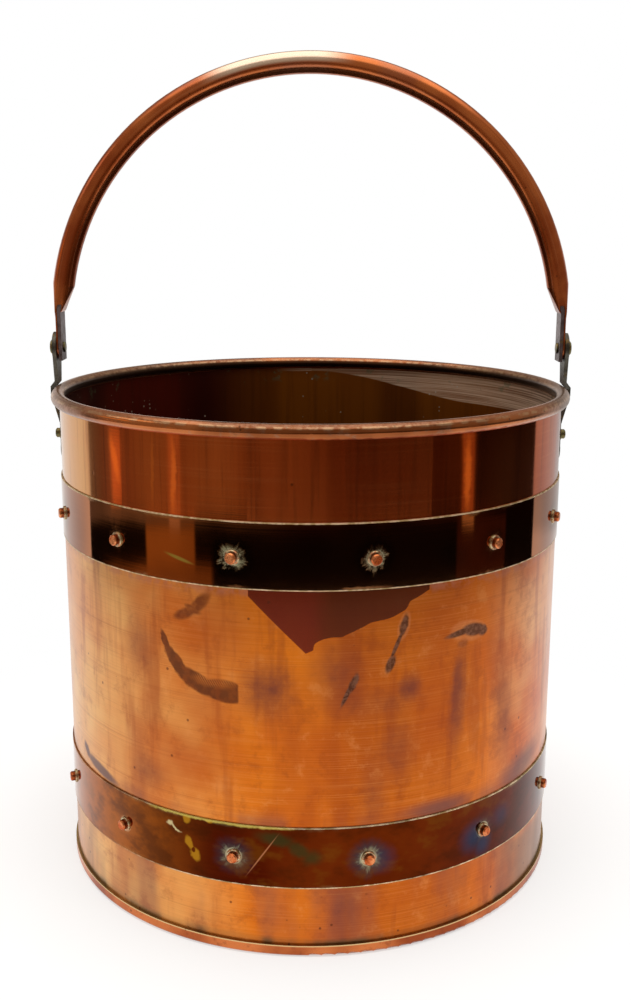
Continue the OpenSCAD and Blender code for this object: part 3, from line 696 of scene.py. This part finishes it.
def handle_paint():
    """Handle tube: drawn lines along the arch, a crease, painted shade inside the arch, a pale top of wear
    and painted highlight, and duller flattened ends.
    """
    p = Paint("handle_copper", metallic=0.82, coat=0.2)
    up = p.z - ARCH_Z
    sweep = p.math("SQRT", p.x * p.x + up * up)
    along = p.math("ARCTAN2", up, p.x)
    around = p.math("ARCTAN2", p.y, sweep - ARCH_R)
    skin = p.vector(along * ARCH_R, 0.0, around * TUBE_R)
    lines = p.noise(p.stretch(skin, 7.0, 1.0, 700.0), 1.0, 2.0, 0.5)
    streak = p.noise(p.stretch(skin, 12.0, 1.0, 260.0), 1.0, 2.0, 0.5)
    blot = p.noise(p.place, 26.0, 3.0, 0.55)
    ragged = p.noise(p.place, 500.0, 3.0, 0.65)
    colour = p.mix(p.smooth(blot, 0.38, 0.64), tint(208, 114, 56), tint(168, 76, 30))
    colour = p.mix(p.smooth(streak, 0.5, 0.7) * 0.5, colour, tint(132, 52, 20))
    colour = p.mix(p.smooth(lines, 0.55, 0.8) * 0.3, colour, tint(236, 160, 112))
    waver = p.noise(p.stretch(skin, 14.0, 1.0, 1.0), 1.0, 1.0)
    crease_at = around + 2.25 + p.swing(waver, 0.12)
    crease = p.smooth(p.math("ABSOLUTE", crease_at), 0.09, 0.02)
    colour = p.mix(crease * 0.6, colour, tint(232, 156, 112))
    # Darker inner side of the arch: painted shade.
    under = p.smooth(p.math("COSINE", around), -0.35, -0.9)
    colour = p.mix(under * 0.35, colour, tint(96, 36, 16))
    # Lighter top of the arch: partly wear of the grip, partly painted highlight.
    grip_wear_and_highlight = p.smooth(p.z, 0.50, 0.525)
    colour = p.mix(grip_wear_and_highlight * p.smooth(blot, 0.4, 0.6) * 0.3, colour, tint(226, 160, 118))
    # Pale patch on the crown: painted highlight.
    painted_highlight_patch = p.band(along, 1.55, 1.86, 0.16) * p.smooth(p.math("COSINE", around + 0.7), 0.55, 0.8)
    colour = p.mix(painted_highlight_patch * 0.85, colour, tint(250, 226, 200))
    end = p.smooth(p.z, 0.382, 0.366)
    colour = p.mix(end * p.smooth(ragged, 0.4, 0.6) * 0.5, colour, tint(120, 70, 48))
    colour = p.mix(p.specks(p.place, 220.0, 0.16, 0.2) * 0.6, colour, tint(72, 32, 18))
    rough = 0.17 + (blot - 0.4) * 0.10 + p.swing(lines, 0.06) + end * 0.1
    height = p.swing(streak, 0.012) + blot * 0.12
    return p.finish(colour, rough, height)


def wire_paint():
    """Iron wire in the bead, seen only through the slit under the curl."""
    p = Paint("wire_iron", metallic=0.8)
    ragged = p.noise(p.place, 260.0, 3.0, 0.6)
    colour = p.mix(p.smooth(ragged, 0.4, 0.6), tint(86, 64, 50), tint(120, 66, 36))
    return p.finish(colour, 0.55 + p.swing(ragged, 0.3), ragged * 0.1)


def make_studio():
    """White to the camera. The copper mirrors a white sweep behind, a dark warm room and a soft ceiling."""
    world = bpy.data.worlds.new("studio")
    bpy.context.scene.world = world
    world.use_nodes = True
    g = Graph(world.node_tree)
    way = g.out(g.node("ShaderNodeTexCoord"), "Generated")
    x, y, z = g.split(way)
    turn = g.math("DEGREES", g.math("ARCTAN2", x, g.math("MULTIPLY", y, -1.0)))
    left = g.smooth(turn, -115.5, -116.5) * 0.92
    right = g.smooth(turn, 119.0, 120.0) * g.smooth(z, -0.250, -0.234, 0.84, 0.60)
    sweep = g.larger(left, right) * g.smooth(z, 0.30, 0.05)
    ceiling = g.smooth(z, 0.68, 0.86)

    # The room: warm where the top of the wall looks, and near black where the upper band looks. It is dim
    # brown below that and grey higher up. The warm part is brightest at the left.
    wall = (g.smooth(turn, -20, 5, 0.15, 0.0) + g.smooth(turn, 8, 28, 0.075, 0.0)
            + g.smooth(turn, 66, 80, 0.045, 0.0) + g.smooth(turn, -98, -106, 0.0, -0.12) + 0.006)
    hue = g.mix(g.smooth(turn, -22, 4), (1.0, 0.78, 0.6, 1.0), (1.0, 0.42, 0.2, 1.0))
    warm = g.out(g.node("ShaderNodeVectorMath", {0: hue, "Scale": wall}, operation="SCALE"))
    room = g.mix(g.smooth(z, -0.242, -0.232), (0.006, 0.004, 0.003, 1.0), warm)
    room = g.mix(g.smooth(z, -0.302, -0.325), room, (0.26, 0.16, 0.10, 1.0))
    room = g.mix(g.smooth(z, -0.16, 0.05), room, (0.27, 0.23, 0.19, 1.0))

    # Soft strips: azimuth and half width in degrees, lower and upper rise of the view, level, colour
    strips = [
        (-64, 12, -0.34, -0.245, 0.42, (1.0, 0.5, 0.14)),
        (-75, 31, -0.34, -0.278, 0.34, (1.0, 0.5, 0.16)),
        (82, 14, -0.32, -0.235, 0.05, (1.0, 0.35, 0.2)),
        (-95, 3, -0.22, -0.17, 0.9, (1.0, 0.6, 0.3)),
        (-61, 2, -0.235, -0.15, 0.6, (1.0, 0.7, 0.5)),
        (73, 2.5, -0.235, -0.15, 0.6, (1.0, 0.65, 0.35)),
        (-89, 13, 0.42, 0.60, 1.3, (1.0, 0.94, 0.82)),
        (-91, 9, 0.12, 0.26, 0.9, (1.0, 0.62, 0.2)),
    ]
    for azimuth, half, low, high, level, colour in strips:
        strip = g.band(turn, azimuth - half, azimuth + half, 1.5) * g.band(z, low, high, 0.01)
        room = g.mix(strip, room, tuple(level * c for c in colour) + (1.0,))
    light = g.mix(ceiling, room, (1.5, 1.44, 1.36, 1.0))
    light = g.mix(sweep, light, (1.0, 0.985, 0.965, 1.0))
    seen = g.out(g.node("ShaderNodeLightPath"), "Is Camera Ray")
    background = g.tree.nodes["Background"]
    g.feed(background.inputs["Color"], g.mix(seen, light, WHITE))


def make_floor():
    """Pale disc. Round the bucket it takes a soft shadow, and further out it is as white as the backdrop."""
    mesh = bpy.data.meshes.new("floor")
    turns = [2 * math.pi * i / FLOOR_SIDES for i in range(FLOOR_SIDES)]
    ring = [(FLOOR_REACH * math.cos(turn), FLOOR_REACH * math.sin(turn), -FLOOR_DROP) for turn in turns]
    mesh.from_pydata(ring, [], [list(range(FLOOR_SIDES))])
    floor = bpy.data.objects.new("floor", mesh)
    bpy.context.scene.collection.objects.link(floor)
    material = bpy.data.materials.new("floor_white")
    material.use_nodes = True
    g = Graph(material.node_tree)
    x, y = g.split(g.out(g.node("ShaderNodeTexCoord"), "Object"))[:2]
    away = g.math("SQRT", x * x + y * y)
    diffuse = g.node("ShaderNodeBsdfDiffuse", {"Color": (0.9, 0.9, 0.9, 1.0)})
    glow = g.node("ShaderNodeEmission", {"Color": WHITE, "Strength": 1.0})
    share = g.smooth(away, 0.17, 0.42, 0.55, 1.0)
    both = g.node("ShaderNodeMixShader", (share, g.out(diffuse), g.out(glow)))
    g.feed(g.tree.nodes["Material Output"].inputs["Surface"], g.out(both))
    mesh.materials.append(material)


def make_light(name, place, aim, size, power):
    """Soft rectangular light that neither the camera nor the copper sees as a shape."""
    data = bpy.data.lights.new(name, "AREA")
    data.shape = "RECTANGLE"
    data.size, data.size_y = size
    data.energy = power
    light = bpy.data.objects.new(name, data)
    bpy.context.scene.collection.objects.link(light)
    light.location = place
    light.rotation_mode = "QUATERNION"
    light.rotation_quaternion = (Vector(aim) - Vector(place)).to_track_quat("-Z", "Y")
    light.visible_camera = False
    light.visible_glossy = False


def make_camera():
    """Camera at the photograph's viewing angle."""
    data = bpy.data.cameras.new("camera")
    data.sensor_width = CAMERA_SENSOR
    data.lens = CAMERA_LENS
    camera = bpy.data.objects.new("camera", data)
    bpy.context.scene.collection.objects.link(camera)
    turn = Matrix.Rotation(math.pi / 2 - CAMERA_TILT, 4, "X") @ Matrix.Rotation(CAMERA_ROLL, 4, "Z")
    camera.matrix_world = Matrix.Translation((CAMERA_SIDE, -CAMERA_DISTANCE, CAMERA_HEIGHT)) @ turn
    bpy.context.scene.camera = camera


def give(material, *names):
    """Puts one material on the named nodes."""
    for name in names:
        materials = nodes[name].data.materials
        materials.clear()
        materials.append(material)


make_camera()
make_studio()
make_floor()
make_light("top", LIGHT_PLACE, LIGHT_AIM, LIGHT_SIZE, LIGHT_POWER)
bpy.context.scene.view_settings.view_transform = "Standard"

give(wall_paint(), "body")
give(wire_paint(), "rim_wire")
give(base_paint(), "base")
give(upper_band_paint(), "upper_band")
give(lower_band_paint(), "lower_band")
give(rivet_paint("rivet_copper", tint(236, 150, 96), tint(150, 78, 44)),
     "upper_band_rivets", "lower_band_rivets")
give(washer_paint(), "upper_band_washers", "lower_band_washers")
give(iron_paint("lug_iron", tint(112, 108, 98), tint(74, 70, 60), 0.06), "left_lug", "right_lug")
give(iron_paint("tang_iron", tint(140, 126, 128), tint(98, 84, 84), 0.0),
     "left_handle_tang", "right_handle_tang")
give(brass_paint(), "left_lug_rivet", "right_lug_rivet", "left_lug_washer", "right_lug_washer",
     "left_pivot_pin", "right_pivot_pin")
give(handle_paint(), "handle_tube")
